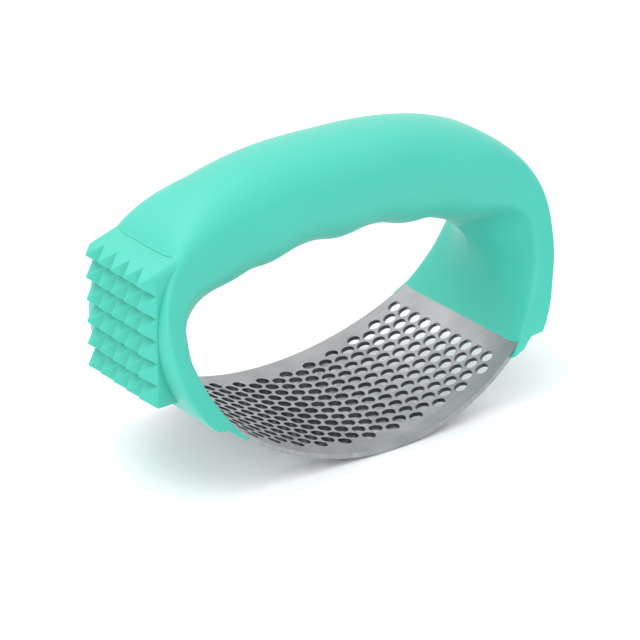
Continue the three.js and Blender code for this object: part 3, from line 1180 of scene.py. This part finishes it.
    def mark_wear(self, handle: Piece) -> None:
        """Writes how much each corner of the mesh rubs, from how convex the surface is there.

        Args:
            handle: The finished mesh.
        """
        work = bmesh.new()
        work.from_mesh(handle.data)
        work.normal_update()
        values = []
        for vert in work.verts:
            bends = [
                (edge.other_vert(vert).co - vert.co).normalized().dot(vert.normal)
                for edge in vert.link_edges
                if edge.calc_length() > SHORTEST_EDGE
            ]
            mean = -sum(bends) / len(bends) if bends else 0.0
            values.append(min(1.0, max(0.0, (mean - self.wear_start) * self.wear_gain)))
        work.free()
        handle.data.attributes.new("wear", "FLOAT", "POINT").data.foreach_set("value", values)


# ---- Peeler pad ----


@dataclass
class PeelerPad:
    """The block of pyramid teeth on the outside of one leg, in millimetres."""

    handle: Handle
    columns: int = 5
    rows: int = 6
    tooth_width: float = 5.24
    tooth_rise: float = 5.38
    tooth_depth: float = 3.6
    pad_rise: float = 3.9
    stand: float = 0.2
    sink: float = 2.2
    seat: float = 0.8
    top_slope: float = 0.35
    tooth_round: float = 0.22
    sharp_edge: float = 25.0
    shaded_edge: float = 40.0
    corner_round: float = 2.6
    weld: float = 0.02
    front_room: float = 9.0  # how far the cutters run out past the teeth's feet
    back_room: float = 16.0  # how far they run in from there
    back_start: float = 0.25  # the share of the arch from where its points can be the pad's back
    back_steps: int = 60
    spans: int = 120
    face: float = field(init=False)
    bottom: float = field(init=False)
    top: float = field(init=False)
    half_width: float = field(init=False)

    def __post_init__(self) -> None:
        """Works out where the teeth's feet stand on the leg."""
        self.face = self.handle.reach + self.stand
        self.bottom = self.handle.tip_level + self.pad_rise
        self.top = self.bottom + self.rows * self.tooth_rise
        self.half_width = self.columns * self.tooth_width / 2

    def tooth(self) -> Piece:
        """Makes one pyramid, pointing away from the handle.

        Returns:
            The tooth, open at its foot.
        """
        half_y, half_z = self.tooth_width / 2, self.tooth_rise / 2
        base = [(0, half_y, -half_z), (0, -half_y, -half_z), (0, -half_y, half_z), (0, half_y, half_z)]
        points = [tuple(c * MM for c in p) for p in base + [(-self.tooth_depth, 0, 0)]]
        return new_mesh("peeler_tooth", points, [(4, k, (k + 1) % 4) for k in range(4)])

    def corner_cut(self) -> Piece:
        """Makes the cutter that rounds the pad's two upper corners, along its sloping top.

        Returns:
            The cutter for both corners.
        """
        half, radius, beyond, steps = self.half_width, self.corner_round, 4.0, 8
        turn = [math.pi / 2 * k / steps for k in range(steps + 1)]
        line = [(half - radius * (1 - math.sin(a)), radius * (math.cos(a) - 1)) for a in turn]
        line += [(half + beyond, -radius), (half + beyond, beyond), (half - radius, beyond)]
        runs = []
        for side in (-1, 1):
            rings = []
            for x in (-self.face - self.front_room, -self.face + self.back_room):
                rise = self.top + self.top_slope * (x + self.face)
                rings.append([self.handle.plate.placed(x, side * y, rise + z) for y, z in line])
            runs.append(rings)
        return closed_body("pad_corner_cut", runs)

    def back_line(self) -> list[tuple[float, float]]:
        """Works out the pad's back, sunk below the leg's outer face.

        Returns:
            Its (x, z) points, from the top to the bottom.
        """
        shares = [mix(self.back_start, 1.0, k / self.back_steps) for k in range(self.back_steps + 1)]
        spots = [self.handle.outer.inside(share, self.sink) for share in shares]
        slope = self.top_slope
        return [(-x, z) for x, z in spots if self.bottom < z < self.top + slope * (self.face - x)]

    def recess(self) -> Piece:
        """Makes the cutter for the pad's recess in the skin.

        Returns:
            The cutter.
        """
        back = self.back_line()[::-1]
        low_x, high_x = back[0][0], back[-1][0]
        front = -self.face - self.front_room
        high = self.top + self.top_slope * (self.face + high_x)
        line = [(front, self.bottom), (low_x, self.bottom), *back]
        line += [(high_x, high), (-self.face, self.top), (front, self.top)]
        made = self.handle.across("pad_recess", [line], 2 * self.half_width)
        cut_away(made, [self.corner_cut(), self.handle.body("recess_floor", self.seat, 1.0, self.spans)])
        return made

    def block(self) -> Piece:
        """Makes the pad behind its teeth.

        Returns:
            The block, open where the teeth stand.
        """
        placed, rows = self.handle.plate.placed, self.rows
        front = [(-self.face, self.bottom + k * self.tooth_rise) for k in range(rows + 1)]
        ring = front + self.back_line()
        count = len(ring)
        ys = [self.half_width - k * self.tooth_width for k in range(self.columns + 1)]
        points = [placed(x, y, z) for y in (ys[0], ys[-1]) for x, z in ring]
        faces: list = [tuple(range(count)), tuple(range(2 * count - 1, count - 1, -1))]
        edges = []
        for corner in (0, rows):
            x, z = ring[corner]
            first = len(points)
            points += [placed(x, y, z) for y in ys[1:-1]]
            edges.append((corner, *range(first, len(points)), corner + count))
        faces += [(k, k + 1, k + 1 + count, k + count) for k in range(rows + 1, count - 1)]
        faces.append((*edges[1], rows + 1 + count, rows + 1))
        faces.append((*edges[0], 2 * count - 1, count - 1))
        return new_mesh("peeler_pad_toothed", points, faces)

    def teeth_tree(self) -> Tree:
        """Makes the tree that sets the teeth out in columns and rows and welds them to the pad.

        Returns:
            The tree.
        """
        lengths = {name: "Float" for name in ("Height", "Width", "Weld")}
        inputs = {"Tooth": "Object", "Rows": "Int", "Columns": "Int", **lengths, "Centre": "Vector"}
        tree, given = start_tree("set_teeth", inputs)
        grid = grid_points(tree, given, ("Height", "Width"), ("Rows", "Columns"))
        turn = {"Rotation": (0.0, -math.pi / 2, 0.0)}
        links = {"Geometry": grid, "Translation": given["Centre"]}
        upright = add_node(tree, "GeometryNodeTransform", turn, links).outputs[0]
        end_tree(tree, weld_copies(tree, given, "Tooth", upright), given["Finish"])
        return tree

    def build(self, material: Material) -> Piece:
        """Builds the finished pad.

        Args:
            material: Its finish.

        Returns:
            The pad as one plain mesh.
        """
        tooth = self.tooth()
        pad = self.block()
        add_tree(
            pad,
            self.teeth_tree(),
            {
                "Tooth": tooth,
                "Rows": self.rows,
                "Columns": self.columns,
                "Height": (self.rows - 1) * self.tooth_rise * MM,
                "Width": (self.columns - 1) * self.tooth_width * MM,
                "Weld": self.weld * MM,
                "Centre": self.handle.plate.placed(-self.face, 0.0, (self.bottom + self.top) / 2),
                "Finish": material,
            },
        )
        frozen(pad)
        outward(pad)
        soften(pad, self.tooth_round, 2, self.sharp_edge)
        frozen(pad)
        bpy.data.objects.remove(tooth)
        cut_away(pad, [self.corner_cut(), self.handle.body("pad_back", self.seat, 1.0, self.spans)])
        smooth_by_angle(pad, self.shaded_edge)
        place(pad, Slot.PAD, "peeler_pad", material)
        return pad


# ---- Core ----


@dataclass
class Core:
    """The two hard shells inside the handle, which keep their CAD shape."""

    nodes: tuple = ("core_front", "core_rear")

    def dress(self, material: Material) -> None:
        """Gives both shells their finish.

        Args:
            material: The finish.
        """
        for name in self.nodes:
            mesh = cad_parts[name].data
            mesh.materials.clear()
            mesh.materials.append(material)
            LOG.info("%s: CAD node kept", name)


# ---- Studio ----


@dataclass
class Viewpoint:
    """The camera, placed as if the press stood rocked a little on its roll, in millimetres and degrees."""

    azimuth: float = -36.378
    elevation: float = 23.899
    distance: float = 642.142
    aim_level: float = 30.0
    rock: float = 0.6
    lens: float = 154.507
    shift_x: float = -0.01383
    shift_y: float = -0.04261

    def build(self, plate: PressPlate) -> None:
        """Makes the scene's camera.

        Args:
            plate: The plate, whose roll's centre line the press rocks about.
        """
        a, e = math.radians(self.azimuth), math.radians(self.elevation)
        back = Vector((math.sin(a) * math.cos(e), -math.cos(a) * math.cos(e), math.sin(e)))
        right = Vector((math.cos(a), math.sin(a), 0.0))
        up = back.cross(right)
        turned = Matrix((right, up, back)).transposed().to_4x4()
        stand = Vector((0.0, 0.0, self.aim_level)) + back * self.distance
        pivot = Vector((0.0, 0.0, plate.level))
        rocked = (
            Matrix.Translation((Vector((plate.middle, 0.0, 0.0)) + pivot) * MM)
            @ Matrix.Rotation(-math.radians(self.rock), 4, "Y")
            @ Matrix.Translation(-pivot * MM)
        )
        lens = bpy.data.cameras.new("viewpoint")
        lens.sensor_width = 36.0
        lens.lens = self.lens
        lens.shift_x = self.shift_x
        lens.shift_y = self.shift_y
        lens.clip_start = 0.01
        lens.clip_end = 50.0
        camera = bpy.data.objects.new("viewpoint", lens)
        bpy.context.scene.collection.objects.link(camera)
        camera.matrix_world = rocked @ Matrix.Translation(stand * MM) @ turned
        bpy.context.scene.camera = camera


@dataclass
class Studio:
    """A pale glossy table under large soft lights."""

    floor_size: float = 6.0
    floor_level: float = -0.0001  # a hair below the roll, so that the two do not flicker
    floor_colour: str = "#F6F8FA"
    floor_roughness: float = 0.3
    horizon_strength: float = 0.82
    zenith_strength: float = 1.4
    lamp_size: float = 0.8
    aim_height: float = 0.03
    key_place: tuple = (-0.35, 0.25, 0.9)
    key_power: float = 3.2
    fill_place: tuple = (-0.9, -0.6, 0.45)
    fill_power: float = 3.5

    def build(self) -> None:
        """Makes the table, the surrounding light and the lamps."""
        self.table()
        self.surroundings()
        self.lamp("key_softbox", self.key_place, self.key_power)
        self.lamp("front_fill", self.fill_place, self.fill_power)
        view = bpy.context.scene.view_settings
        view.view_transform = "Standard"
        view.look = "None"

    def table(self) -> None:
        """Lays a sheet of white glossy laminate under the press."""
        half = self.floor_size / 2
        corners = [(-half, -half, 0.0), (half, -half, 0.0), (half, half, 0.0), (-half, half, 0.0)]
        floor = new_mesh("table_top", corners, [(0, 1, 2, 3)])
        floor.location.z = self.floor_level
        made = bpy.data.materials.new("white_laminate")
        made.use_nodes = True
        shader = made.node_tree.nodes["Principled BSDF"]
        shader.inputs["Base Color"].default_value = linear(self.floor_colour)
        shader.inputs["Roughness"].default_value = self.floor_roughness
        floor.data.materials.append(made)

    def surroundings(self) -> None:
        """Makes a white room that is brighter overhead than at the horizon."""
        world = bpy.data.worlds.new("studio")
        bpy.context.scene.world = world
        world.use_nodes = True
        tree = world.node_tree
        sky = tree.nodes["Background"]
        sky.inputs["Color"].default_value = linear("#FFFFFF")
        where = add_node(tree, "ShaderNodeTexCoord").outputs["Generated"]
        height = add_node(tree, "ShaderNodeSeparateXYZ", {}, {0: where}).outputs["Z"]
        strength = mapped(tree, height, to_min=self.horizon_strength, to_max=self.zenith_strength)
        tree.links.new(strength, sky.inputs["Strength"])

    def lamp(self, name: str, where: tuple, power: float) -> None:
        """Adds one square softbox aimed at the press.

        Args:
            name: The lamp's name.
            where: Its place in metres.
            power: Its power in watts.
        """
        light = bpy.data.lights.new(name, "AREA")
        light.shape = "SQUARE"
        light.size = self.lamp_size
        light.energy = power
        made = bpy.data.objects.new(name, light)
        bpy.context.scene.collection.objects.link(made)
        made.location = where
        aim = Vector((0.0, 0.0, self.aim_height)) - Vector(where)
        made.rotation_mode = "QUATERNION"
        made.rotation_quaternion = aim.to_track_quat("-Z", "Y")


def main() -> None:
    """Builds the press and its studio."""
    logging.basicConfig(level=logging.INFO, format="%(name)s: %(message)s")
    plate = PressPlate()
    handle = Handle(plate)
    pad = PeelerPad(handle)
    plate.build(SatinSteel().material())
    handle.build(SoftTouchRubber().material(), pad.recess())
    pad.build(SoftTouchRubber("moulded_mint_pad_elastomer").material())
    Core().dress(MouldedPolypropylene().material())
    Viewpoint().build(plate)
    Studio().build()


if __name__ == "__main__":
    main()
